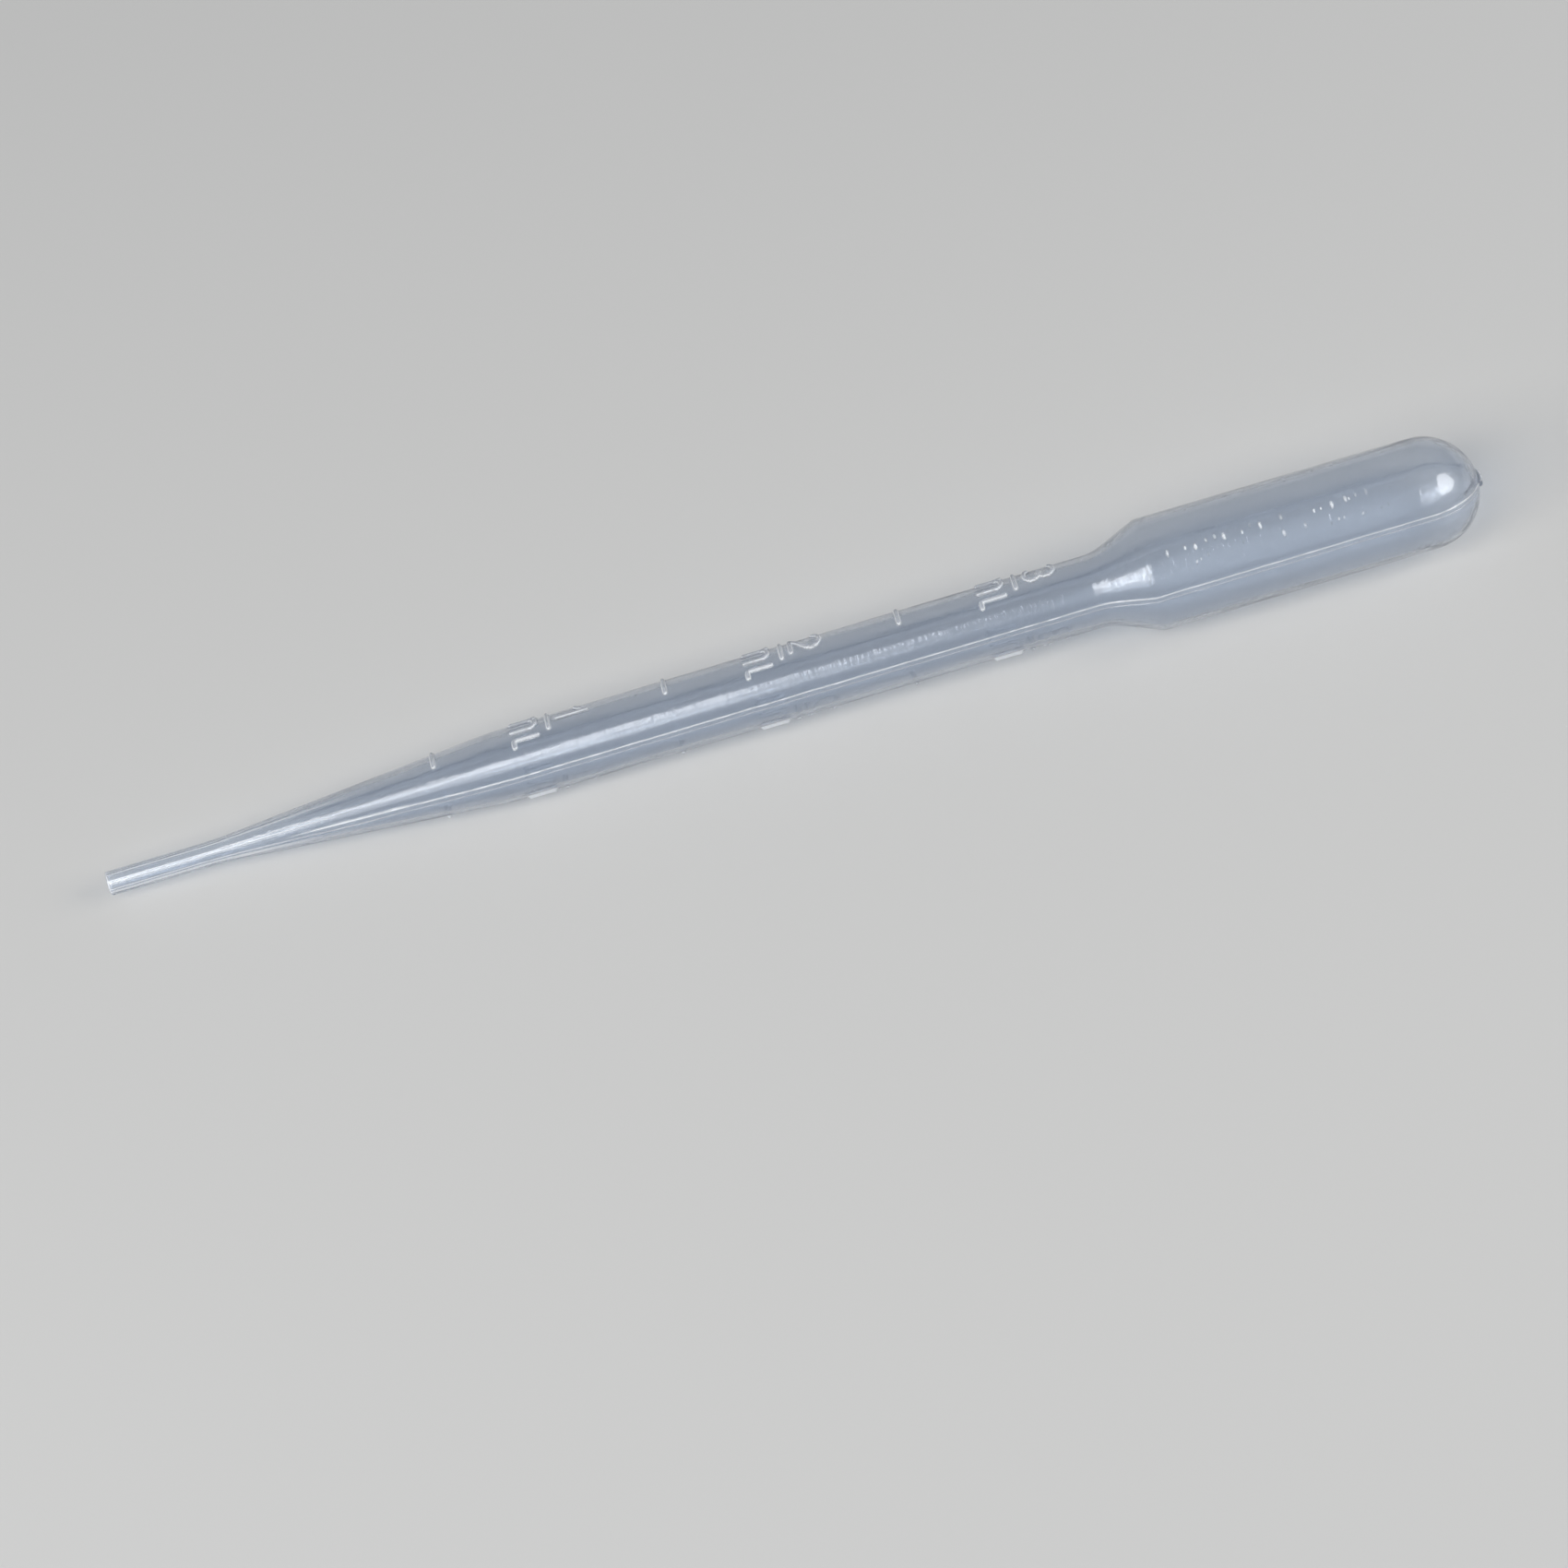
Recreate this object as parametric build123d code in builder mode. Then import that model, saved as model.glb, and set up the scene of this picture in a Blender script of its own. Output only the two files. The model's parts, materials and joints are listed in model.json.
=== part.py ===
"""Graduated one-piece dropper pipette, blow-moulded in low-density polyethylene.

A tube with one skin all round: a fine straight tip, a long taper, the graduated stem, a conical
shoulder and a closed squeeze bulb. The two mould halves leave a raised parting line along both
sides, a pinch-off bar on the bulb's end, and the same raised volume marks on each half.

Row frame: +Z up, +X from the tip towards the bulb. The pipette lies as it rests on a table: on the
corner of its bulb and on the raised letters at the start of its stem, with the tip clear of the
table. The origin is on the table, under the middle of the pipette's length.
"""

import os
from math import asin, atan2, cos, degrees, hypot, sin, tan

from build123d import *

# Lengths along the pipette's axis, from the mouth of the tip (mm)
LENGTH = 155.0
TIP_LENGTH = 12.5
TAPER_END = 44.4
SHOULDER_START = 112.3
SHOULDER_END = 117.6

# Outer radii (mm)
TIP_R = 1.34
STEM_R = 3.98
STEM_SHOULDER_R = 4.04
BULB_R = 6.24
DOME_R = 6.16

# Wall thickness of the blown skin (mm): thinnest where the mould stretched it most
TIP_WALL = 0.34
STEM_WALL = 0.54
BULB_WALL = 0.42

# Blends of the outer wall (mm), from the tip to the bulb
TAPER_BLEND_R = 40.0
SHOULDER_BLEND_R = 6.0
BULB_CORNER_R = 0.8

# Parting line: a low rib in the plane where the mould halves met
RIB_HEIGHT = 0.12
RIB_WIDTH = 0.36
RIB_START = 15.0

# Pinch-off bar, where the mould closed the end of the bulb
PINCH_HEIGHT = 0.4
PINCH_LENGTH = 4.0
PINCH_WIDTH = 0.9

# Raised volume marks: one each half millilitre, on both mould halves
FIRST_MARK = 37.7
MARK_SPACING = 13.14
MARK_COUNT = 6
MARK_LENGTH = 3.0
MARK_HEIGHT = 0.28
MARK_ROOT_WIDTH = 0.76
MARK_CREST_WIDTH = 0.28
MARK_ROOT_DEPTH = 0.2

# How it lies: the parting plane's angle from the vertical, and where the unit letters beside the
# first whole mark begin, which stand as high as the marks and touch the table
PARTING_ROLL = 52.0
LETTERS_START = 46.6


def outer_radius(station):
    """Radius of the outer wall on the taper and the stem, without the blend between them."""
    taper = (STEM_R - TIP_R) / (TAPER_END - TIP_LENGTH)
    growth = (STEM_SHOULDER_R - STEM_R) / (SHOULDER_START - TAPER_END)
    if station < TAPER_END:
        return TIP_R + taper * (station - TIP_LENGTH)
    return STEM_R + growth * (station - TAPER_END)


# ---- The lie of the axis: tangent to the bulb's rounded corner, and level with the letters ----
shoulder_angle = atan2(BULB_R - STEM_SHOULDER_R, SHOULDER_END - SHOULDER_START)
letters_r = outer_radius(LETTERS_START) + MARK_HEIGHT
corner_run = SHOULDER_END + BULB_CORNER_R * tan(shoulder_angle / 2) - LETTERS_START
corner_rise = BULB_R - BULB_CORNER_R - letters_r
tilt = atan2(corner_rise, corner_run) + asin(BULB_CORNER_R / hypot(corner_run, corner_rise))

dome_x = LENGTH - PINCH_HEIGHT - DOME_R
low_x = -TIP_R * sin(tilt)
high_x = dome_x * cos(tilt) + DOME_R + PINCH_HEIGHT
mouth = Vector(-(low_x + high_x) / 2, 0, letters_r * cos(tilt) - LETTERS_START * sin(tilt))
along = Vector(cos(tilt), 0, sin(tilt))
centre_line = Axis(mouth, along)


def axial_plane(roll):
    """A plane that holds the axis: x runs from the mouth to the bulb and y is the radius, which
    leans from the vertical towards -Y by the roll."""
    normal = Vector(0, -1, 0).rotate(Axis((0, 0, 0), along), roll)
    return Plane(origin=mouth, x_dir=along, z_dir=normal)


parting = axial_plane(PARTING_ROLL)

# ---- Profiles, as points of station and radius ----
outer_points = [
    (0, TIP_R),
    (TIP_LENGTH, TIP_R),
    (TAPER_END, STEM_R),
    (SHOULDER_START, STEM_SHOULDER_R),
    (SHOULDER_END, BULB_R),
    (dome_x, DOME_R),
]
outer_blends = [TAPER_BLEND_R, TAPER_BLEND_R, SHOULDER_BLEND_R, BULB_CORNER_R]

# Inside a cone the corners of an even wall sit further along, by the wall times half the turn
inner_shift = tan(shoulder_angle / 2)
inner_points = [
    (0, TIP_R - TIP_WALL),
    (TIP_LENGTH, TIP_R - TIP_WALL),
    (TAPER_END, STEM_R - STEM_WALL),
    (SHOULDER_START + STEM_WALL * inner_shift, STEM_SHOULDER_R - STEM_WALL),
    (SHOULDER_END + BULB_WALL * inner_shift, BULB_R - BULB_WALL),
    (dome_x, DOME_R - BULB_WALL),
]
inner_blends = [TAPER_BLEND_R, TAPER_BLEND_R, SHOULDER_BLEND_R, BULB_CORNER_R + BULB_WALL]


def half_section(points, blends):
    """The line of one half of the section: along the wall, round the dome and back on the axis."""
    end_x, end_r = points[-1]
    wall = FilletPolyline(*points, radius=blends)
    dome = RadiusArc(wall @ 1, (end_x + end_r, 0), end_r)
    Polyline(dome @ 1, (0, 0), wall @ 0)


with BuildPart() as pipette:
    # The outer form, turned about the axis
    with BuildSketch(parting) as outer_section:
        with BuildLine():
            half_section(outer_points, outer_blends)
        make_face()
    revolve(axis=centre_line)

    # The parting line: the outline grown by the rib's height, as a plate through the axis
    with BuildSketch(parting):
        add(outer_section.sketch_local)
        mirror(about=Plane.XZ)
        offset(amount=RIB_HEIGHT)
        with Locations((RIB_START, 0)):
            Rectangle(LENGTH, 4 * BULB_R, align=(Align.MIN, Align.CENTER), mode=Mode.INTERSECT)
    extrude(amount=RIB_WIDTH / 2, both=True)

    # The pinch-off bar: a short arc of the parting line, taller and wider, over the dome
    with BuildSketch(parting):
        with Locations((dome_x, 0)):
            Circle(DOME_R + PINCH_HEIGHT)
            Rectangle(
                2 * DOME_R, PINCH_LENGTH, align=(Align.MIN, Align.CENTER), mode=Mode.INTERSECT
            )
    extrude(amount=PINCH_WIDTH / 2, both=True)

    # The volume marks: ridges with sloping flanks that run part of the way round, centred square
    # to the parting plane and rooted in the wall
    for half_angle in (90, -90):
        for mark in range(MARK_COUNT):
            station = FIRST_MARK + mark * MARK_SPACING
            wall_r = outer_radius(station)
            root_r = wall_r - MARK_ROOT_DEPTH
            arc = degrees(MARK_LENGTH / wall_r)
            with BuildSketch(axial_plane(PARTING_ROLL + half_angle - arc / 2)):
                with BuildLine():
                    Polyline(
                        (station - MARK_ROOT_WIDTH / 2, root_r),
                        (station - MARK_ROOT_WIDTH / 2, wall_r),
                        (station - MARK_CREST_WIDTH / 2, wall_r + MARK_HEIGHT),
                        (station + MARK_CREST_WIDTH / 2, wall_r + MARK_HEIGHT),
                        (station + MARK_ROOT_WIDTH / 2, wall_r),
                        (station + MARK_ROOT_WIDTH / 2, root_r),
                        close=True,
                    )
                make_face()
            revolve(axis=centre_line, revolution_arc=arc)

    # The inside, open at the tip and closed in the bulb
    with BuildSketch(parting):
        with BuildLine():
            half_section(inner_points, inner_blends)
        make_face()
    revolve(axis=centre_line, mode=Mode.SUBTRACT)

pipette.part.label = "pipette"

os.makedirs("parts", exist_ok=True)
export_step(pipette.part, "parts/pipette.step")
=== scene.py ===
"""Looks of a one-piece dropper pipette, blow-moulded in milky low-density polyethylene.

One piece is built, the skin of the pipette, with both faces of its wall. A flat sheet of stations
and turns is wrapped round the axis by Geometry Nodes, which raise the volume marks, the parting
line and the pinch-off bar on it. A plain stage with soft light carries it.
"""

import json
import math

import bpy
import numpy as np
from bpy.props import FloatProperty, FloatVectorProperty, IntProperty, PointerProperty
from mathutils import Matrix, Vector


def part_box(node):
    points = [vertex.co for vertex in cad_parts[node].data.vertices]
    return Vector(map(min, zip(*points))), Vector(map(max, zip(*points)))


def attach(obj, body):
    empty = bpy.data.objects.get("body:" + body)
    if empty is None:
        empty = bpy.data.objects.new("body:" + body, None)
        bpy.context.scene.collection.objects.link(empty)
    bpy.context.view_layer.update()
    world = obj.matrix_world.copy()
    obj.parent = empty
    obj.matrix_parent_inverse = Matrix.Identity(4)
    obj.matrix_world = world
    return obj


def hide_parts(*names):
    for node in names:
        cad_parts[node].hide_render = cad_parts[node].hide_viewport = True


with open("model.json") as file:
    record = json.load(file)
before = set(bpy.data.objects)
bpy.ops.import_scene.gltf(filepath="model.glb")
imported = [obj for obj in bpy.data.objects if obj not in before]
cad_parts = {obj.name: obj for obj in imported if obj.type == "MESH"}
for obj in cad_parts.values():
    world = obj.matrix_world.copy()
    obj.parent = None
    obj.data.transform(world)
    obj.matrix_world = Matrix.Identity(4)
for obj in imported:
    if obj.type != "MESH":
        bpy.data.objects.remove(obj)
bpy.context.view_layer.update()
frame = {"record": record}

bl_info = {
    "name": "Dropper Pipette",
    "version": (1, 0, 0),
    "blender": (4, 5, 0),
    "location": "View3D > Sidebar > Pipette",
    "description": "Builds a graduated one-piece dropper pipette and a plain studio stage",
    "category": "Add Mesh",
}

MM = 0.001

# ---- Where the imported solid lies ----
mounts = {m["name"]: m for m in frame["record"]["mounts"]}
tip = mounts["tip_outside"]
ALONG = -Vector(tip["axis"]).normalized()
MOUTH = Vector(tip["pos_m"]) - ALONG * (tip["dims"]["length_mm"] * MM / 2)
TIP_R = tip["dims"]["r_mm"] * MM
TIP_BORE_R = mounts["tip_bore"]["dims"]["r_mm"] * MM
LOW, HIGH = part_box("pipette")


def length(name, description, millimetres):
    """A size in metres, with its default given in millimetres."""
    return FloatProperty(
        name=name,
        description=description,
        default=millimetres * MM,
        subtype="DISTANCE",
        unit="LENGTH",
        precision=5,
    )


def colour(name, description, value):
    """A colour in linear light, with its default given as sRGB hex."""
    return FloatVectorProperty(
        name=name, description=description, default=linear(value), subtype="COLOR", min=0, max=1
    )


def share(name, description, value):
    """A share between none and all."""
    return FloatProperty(
        name=name, description=description, default=value, min=0, max=1, subtype="FACTOR"
    )


def angle(name, description, degrees):
    """An angle, with its default given in degrees."""
    return FloatProperty(
        name=name, description=description, default=math.radians(degrees), subtype="ANGLE"
    )


def linear(value):
    """sRGB hex such as "C8CCD2" to linear red, green and blue."""
    parts = [int(value[i : i + 2], 16) / 255 for i in (0, 2, 4)]
    return tuple(p / 12.92 if p <= 0.04045 else ((p + 0.055) / 1.055) ** 2.4 for p in parts)


class PipetteSkin(bpy.types.PropertyGroup):
    """Sizes of the blown skin, measured along the axis from the mouth of the tip."""

    length: length("Length", "Whole length, with the pinch-off bar", 155.0)
    tip_length: length("Tip length", "End of the straight tip", 12.5)
    taper_end: length("Taper end", "Where the taper meets the stem", 44.4)
    shoulder_start: length("Shoulder start", "Where the stem meets the shoulder", 112.3)
    shoulder_end: length("Shoulder end", "Where the shoulder meets the bulb", 117.6)
    stem_r: length("Stem radius", "Outer radius where the stem starts", 3.98)
    stem_shoulder_r: length("Stem radius at shoulder", "Outer radius where the stem ends", 4.04)
    bulb_r: length("Bulb radius", "Outer radius where the bulb starts", 6.24)
    dome_r: length("Dome radius", "Outer radius of the bulb's end", 6.16)
    stem_wall: length("Stem wall", "Thickness of the stem's wall", 0.54)
    bulb_wall: length("Bulb wall", "Thickness of the bulb's wall", 0.42)
    taper_blend: length("Taper blend", "Radius of the blend at both ends of the taper", 40.0)
    shoulder_blend: length("Shoulder blend", "Radius of the blend before the shoulder", 6.0)
    bulb_corner: length("Bulb corner", "Rounding between the shoulder and the bulb", 0.8)
    rim_round: length("Rim rounding", "Rounding of the cut mouth", 0.06)
    waviness: length("Inner waviness", "How far the inner face swells and sinks", 0.035)
    seed: FloatProperty(name="Seed", description="Fixes every uneven detail", default=4.0)
    seam_thickness: length("Seam thickness", "How much thicker the wall is at the seam", 0.2)
    raggedness: length("Ragged mouth", "How far the cut of the mouth runs in and out", 0.16)
    nick_depth: length("Nick depth", "How far the nick in the cut mouth goes in", 0.42)
    nick_turn: angle("Nick turn", "Where the nick is, round from the marks", 140.0)


class PipetteRelief(bpy.types.PropertyGroup):
    """What the mould leaves raised on the skin."""

    half_marks: IntProperty(
        name="Half marks", description="Marks, one each half millilitre", default=6, min=1
    )
    first_mark: length("First mark", "Station of the first mark", 37.7)
    mark_spacing: length("Mark spacing", "Distance between two marks", 13.14)
    mark_length: length("Mark length", "Length of a mark round the stem", 3.0)
    mark_height: length("Mark height", "How far marks and figures stand out", 0.28)
    stroke_crest: length("Stroke crest", "Half width of a stroke's crest", 0.08)
    stroke_foot: length("Stroke foot", "Half width of a stroke's foot", 0.32)
    rib_height: length("Rib height", "How far the parting line stands out", 0.12)
    rib_crest: length("Rib crest", "Half width of the parting line's crest", 0.16)
    rib_foot: length("Rib foot", "Half width of the parting line's foot", 0.36)
    rib_start: length("Rib start", "Station where the parting line begins", 15.0)
    # This share whitens the lower figures beside the parting line, as a painted highlight
    painted_figure_glint: share("Frost", "How white the lower figures are near the parting line", 0.9)
    pinch_height: length("Pinch height", "How far the pinch-off bar stands out", 0.4)
    pinch_length: length("Pinch length", "Length of the pinch-off bar", 4.0)
    pinch_width: length("Pinch width", "Width of the pinch-off bar", 0.9)
    parting_roll: angle("Parting roll", "Lean of the parting plane from the vertical", 52.0)


class PipettePlastic(bpy.types.PropertyGroup):
    """The milky plastic."""

    tint: colour("Tint", "Colour of light that passes a face of the skin", "F3F6FA")
    milk: colour("Milk", "Colour of light that the skin scatters", "DDE9FF")
    milk_density: FloatProperty(
        name="Milk density", description="Scattering per metre of wall", default=260.0, min=0
    )
    depth: colour("Depth", "Colour that light takes on its way along the wall", "AFD0FF")
    depth_density: FloatProperty(
        name="Depth density", description="Absorption per metre of wall", default=170.0, min=0
    )
    outer_roughness: share("Outer roughness", "Roughness of the outer face", 0.08)
    inner_roughness: share("Inner roughness", "Roughness of the inner face", 0.12)
    flash_roughness: share("Flash roughness", "Roughness of what stands raised", 0.4)
    # Flash white also whitens the painted highlights on flanks, figures, bulb glints and tip
    # streaks
    flash_and_glint_white: share("Flash white", "How much of what stands raised is milky white", 0.8)
    shadow: share("Shadow", "Light that a face lets through to the floor", 0.91)
    # The scuff settings place and whiten the bulb's row of painted glints of the key lamp
    painted_glint_turn: angle("Scuff turn", "Where the row of scuffs runs, round from the marks", 53.0)
    painted_glint_white: share("Scuff white", "How white the bulb's scuffs are", 0.95)
    # The draw line white whitens the tip's painted streaks of lamp light
    painted_streak_white: share("Draw line white", "How white the tip's draw lines are", 0.7)
    cut_white: share("Cut white", "How white the cut mouth is", 0.8)
    index: FloatProperty(
        name="Index of refraction", description="Of low-density polyethylene", default=1.51
    )


class PipetteStage(bpy.types.PropertyGroup):
    """Floor, light and camera."""

    floor_colour: colour("Floor", "Colour of the pale floor", "C9C9C8")
    floor_side: length("Floor side", "Side of the square floor", 6000.0)
    sky_colour: colour("Sky", "Colour of the soft light all round", "EEF2F8")
    sky_strength: FloatProperty(
        name="Sky strength", description="Strength of the soft light", default=0.12, min=0
    )
    key_power: FloatProperty(
        name="Key power", description="Power of the large lamp overhead", default=1.65, unit="POWER"
    )
    side_power: FloatProperty(
        name="Side power", description="Power of each lamp at the side", default=1.5, unit="POWER"
    )
    fill_share: share("Fill share", "Power of the second overhead strip, of the key's", 0.4)
    right_share: FloatProperty(
        name="Right share", description="Power of the right lamp, of the left one's", default=1.5
    )
    aim_left: length("Aim left", "How far left of the middle the view aims", 0.78)
    aim_down: length("Aim down", "How far below the middle the view aims", 11.77)
    view_height: angle("View height", "Angle of the view above the floor", 66.0)
    view_roll: angle("View roll", "Turn of the view round its own axis", 15.88)
    view_distance: length("View distance", "From the camera to the pipette", 800.0)
    view_width: length("View width", "Width of the view at the pipette", 169.3)


# ---- The profile: outer face, rim and inner face as one line of stations and radii ----
def blended(points, blends):
    """The points with each inner corner rounded: a list of lines and arcs, finely sampled."""
    line = [np.array(points[0], float)]
    for before, corner, after, radius in zip(points, points[1:], points[2:], blends):
        before, corner, after = (np.array(p, float) for p in (before, corner, after))
        into = (corner - before) / np.linalg.norm(corner - before)
        out = (after - corner) / np.linalg.norm(after - corner)
        turn = math.atan2(into[0] * out[1] - into[1] * out[0], float(into @ out))
        reach = radius * math.tan(abs(turn) / 2)
        start = corner - into * reach
        side = math.copysign(1.0, turn)
        centre = start + side * radius * np.array([-into[1], into[0]])
        steps = max(2, math.ceil(abs(turn) / math.radians(1.0)))
        for k in range(steps + 1):
            a = turn * k / steps
            arm = start - centre
            line.append(
                centre
                + np.array(
                    [
                        arm[0] * math.cos(a) - arm[1] * math.sin(a),
                        arm[0] * math.sin(a) + arm[1] * math.cos(a),
                    ]
                )
            )
    line.append(np.array(points[-1], float))
    return line


def domed(line, radius):
    """The line, ended by a quarter circle down to the axis."""
    end = line[-1]
    centre = end[0]
    for k in range(1, 91):
        a = math.radians(k)
        line.append(np.array([centre + radius * math.sin(a), radius * math.cos(a)]))
    return np.array(line)


def wall_profiles(skin, relief):
    """Outer and inner face, each from the mouth to the end of the bulb."""
    slope = math.atan2(
        skin.bulb_r - skin.stem_shoulder_r, skin.shoulder_end - skin.shoulder_start
    )
    shift = math.tan(slope / 2)
    dome_x = skin.length - relief.pinch_height - skin.dome_r
    outer = [
        (0, TIP_R),
        (skin.tip_length, TIP_R),
        (skin.taper_end, skin.stem_r),
        (skin.shoulder_start, skin.stem_shoulder_r),
        (skin.shoulder_end, skin.bulb_r),
        (dome_x, skin.dome_r),
    ]
    inner = [
        (0, TIP_BORE_R),
        (skin.tip_length, TIP_BORE_R),
        (skin.taper_end, skin.stem_r - skin.stem_wall),
        (skin.shoulder_start + skin.stem_wall * shift, skin.stem_shoulder_r - skin.stem_wall),
        (skin.shoulder_end + skin.bulb_wall * shift, skin.bulb_r - skin.bulb_wall),
        (dome_x, skin.dome_r - skin.bulb_wall),
    ]
    blends = np.array([skin.taper_blend, skin.taper_blend, skin.shoulder_blend, skin.bulb_corner])
    inner_blends = blends.copy()
    inner_blends[-1] += skin.bulb_wall
    return (
        domed(blended(outer, blends), skin.dome_r),
        domed(blended(inner, inner_blends), skin.dome_r - skin.bulb_wall),
    )


def walk(line, step_at):
    """Points along the line at the steps that step_at(station, radius) asks for, with their
    outward normals."""
    run = np.concatenate([[0], np.cumsum(np.linalg.norm(np.diff(line, axis=0), axis=1))])
    keep = np.concatenate([[True], np.diff(run) > 1e-9])
    line, run = line[keep], run[keep]
    places = [0.0]
    while places[-1] < run[-1]:
        here = [np.interp(places[-1], run, line[:, i]) for i in (0, 1)]
        places.append(places[-1] + step_at(*here))
    places = np.array(places) * (run[-1] / places[-1])
    points = np.stack([np.interp(places, run, line[:, i]) for i in (0, 1)], 1)
    near = 0.02 * MM
    ahead = np.stack([np.interp(places + near, run, line[:, i]) for i in (0, 1)], 1)
    behind = np.stack([np.interp(places - near, run, line[:, i]) for i in (0, 1)], 1)
    along = ahead - behind
    normals = np.stack([-along[:, 1], along[:, 0]], 1)
    normals /= np.linalg.norm(normals, axis=1)[:, None]
    return points, normals


def outer_steps(skin, relief):
    """Rows are close where something stands on the skin or where it bends, and a wide step never
    runs past the start of a close stretch."""
    wide = 1.25 * MM
    wholes = [
        relief.first_mark + (2 * k + 1) * relief.mark_spacing for k in range(relief.half_marks // 2)
    ]
    halves = [
        relief.first_mark + 2 * k * relief.mark_spacing for k in range((relief.half_marks + 1) // 2)
    ]
    dense = [(w - 4.75 * MM, w + 5.1 * MM) for w in wholes]
    dense += [(h - 0.45 * MM, h + 0.45 * MM) for h in halves]
    dome_x = skin.length - relief.pinch_height - skin.dome_r

    def step_at(station, radius):
        if any(a <= station <= b for a, b in dense):
            return 0.12 * MM
        if station > dome_x:
            return 0.1 * MM if radius < relief.pinch_length / 2 + 0.4 * MM else 0.3 * MM
        if abs(station - skin.shoulder_end) < 1.0 * MM:
            return 0.12 * MM
        if abs(station - skin.shoulder_start) < 2.5 * MM:
            return 0.3 * MM
        if station < 1.0 * MM:
            return 0.12 * MM
        to_next = min([start - station for start, _ in dense if start > station], default=wide)
        return min(wide, to_next + 0.01 * MM)

    return step_at


def inner_steps(skin):
    """Rows of the inner face, which carries nothing."""
    dome_x = skin.length - skin.dome_r

    def step_at(station, radius):
        if station > dome_x:
            return 0.5 * MM
        if abs(station - skin.shoulder_end) < 1.5 * MM:
            return 0.2 * MM
        if abs(station - skin.shoulder_start) < 2.5 * MM:
            return 0.4 * MM
        if station < 1.0 * MM:
            return 0.2 * MM
        return 1.8 * MM

    return step_at


def turns():
    """Angles round the axis, from the middle of the marks: close over the marks and the ribs."""
    quarter = []
    angle = 0.0
    while angle < 90.0:
        quarter.append(angle)
        if angle < 48.0:
            angle += 1.9
        elif angle < 82.0:
            angle += 5.0
        elif angle < 86.5:
            angle += 1.2
        else:
            angle += 0.6
    quarter = np.array(quarter) * (90.0 / angle)
    half = np.concatenate([-quarter[:0:-1], quarter, [90.0]])
    half = np.radians(half)
    return np.concatenate([half, half + math.pi])


def sheet_mesh(skin, relief):
    """The closed sheet that the node tree wraps: each point knows its station, radius, turn, the
    lean of its normal and whether it is on the outer face."""
    outer_line, inner_line = wall_profiles(skin, relief)
    outer, outer_n = walk(outer_line, outer_steps(skin, relief))
    inner, inner_n = walk(inner_line, inner_steps(skin))
    rim = skin.rim_round
    outer[0, 0] = rim
    inner[0, 0] = rim
    rim_points = [(0.3 * rim, TIP_R - 0.3 * rim), (0.0, TIP_R - rim)]
    rim_points += [(0.0, TIP_BORE_R + rim), (0.3 * rim, TIP_BORE_R + 0.3 * rim)]
    rim_normals = [(-0.7, 0.7), (-1.0, 0.0), (-1.0, 0.0), (-0.7, -0.7)]
    points = np.concatenate([outer[::-1], rim_points, inner])
    normals = np.concatenate([outer_n[::-1], rim_normals, -inner_n])
    face = np.concatenate([np.ones(len(outer)), np.zeros(len(rim_points) + len(inner))])
    points[0, 1] = points[-1, 1] = 0.0

    angles = turns()
    columns = len(angles)
    rings = points[1:-1]
    station = np.repeat(rings[:, 0], columns)
    radius = np.repeat(rings[:, 1], columns)
    turn = np.tile(angles, len(rings))
    lean = np.repeat(np.arctan2(normals[1:-1, 0], normals[1:-1, 1]), columns)
    outside = np.repeat(face[1:-1], columns)
    count = len(station)
    station = np.append(station, [points[0, 0], points[-1, 0]])
    radius = np.append(radius, [0.0, 0.0])
    turn = np.append(turn, [0.0, 0.0])
    lean = np.append(lean, [math.pi / 2, -math.pi / 2])
    outside = np.append(outside, [1.0, 0.0])

    faces = []
    for row in range(len(rings) - 1):
        a, b = row * columns, (row + 1) * columns
        for c in range(columns):
            d = (c + 1) % columns
            faces.append((a + c, b + c, b + d, a + d))
    last = (len(rings) - 1) * columns
    for c in range(columns):
        d = (c + 1) % columns
        faces.append((count, c, d))
        faces.append((count + 1, last + d, last + c))

    mesh = bpy.data.meshes.new("pipette_sheet")
    mesh.from_pydata(np.stack([station, turn * radius, 0 * turn], 1).tolist(), [], faces)
    for name, values in (
        ("station", station),
        ("radius", radius),
        ("turn", turn),
        ("lean", lean),
        ("outside", outside),
    ):
        layer = mesh.attributes.new(name, "FLOAT", "POINT")
        layer.data.foreach_set("value", values.astype(np.float32))
    return mesh


# ---- The strokes of marks and figures, as open lines on the flattened stem ----
def arc_points(centre, radii, start, end, steps=14):
    """Points on an ellipse between two angles, in degrees."""
    angles = [math.radians(start + (end - start) * k / steps) for k in range(steps + 1)]
    return [
        (centre[0] + radii[0] * math.cos(a), centre[1] + radii[1] * math.sin(a)) for a in angles
    ]


def strokes(name, lines):
    """A mesh of edges. A line is drawn as it is read, right and up, in millimetres; up is along
    the stem and right runs with the turn."""
    points, edges = [], []
    for line in lines:
        first = len(points)
        points += [(up * MM, right * MM, 0.0) for right, up in line]
        edges += [(first + k, first + k + 1) for k in range(len(line) - 1)]
    mesh = bpy.data.meshes.new(name)
    mesh.from_pydata(points, edges, [])
    return bpy.data.objects.new(name, mesh)


def tick_strokes(mark_length):
    """One mark: a line across the stem."""
    half = mark_length / MM / 2
    return strokes("tick_strokes", [[(-half, 0), (half, 0)]])


def unit_strokes():
    """The unit below a whole mark: m, then L."""
    low, high = -4.05, -1.4
    left, middle = -2.65, -0.94
    bow = (middle - left) / 2
    lines = [[(left, low), (left, high)]]
    for a in (left, middle):
        lines.append(
            [(a, high - 1.1)]
            + arc_points((a + bow, high - bow), (bow, bow), 180, 0)
            + [(a + 2 * bow, low)]
        )
    foot = 0.35
    stem = 1.92
    lines.append(
        [(stem, high + 0.05)]
        + arc_points((stem + foot, low + foot), (foot, foot), 180, 270, 6)
        + [(2.75, low)]
    )
    return strokes("unit_strokes", lines)


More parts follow.
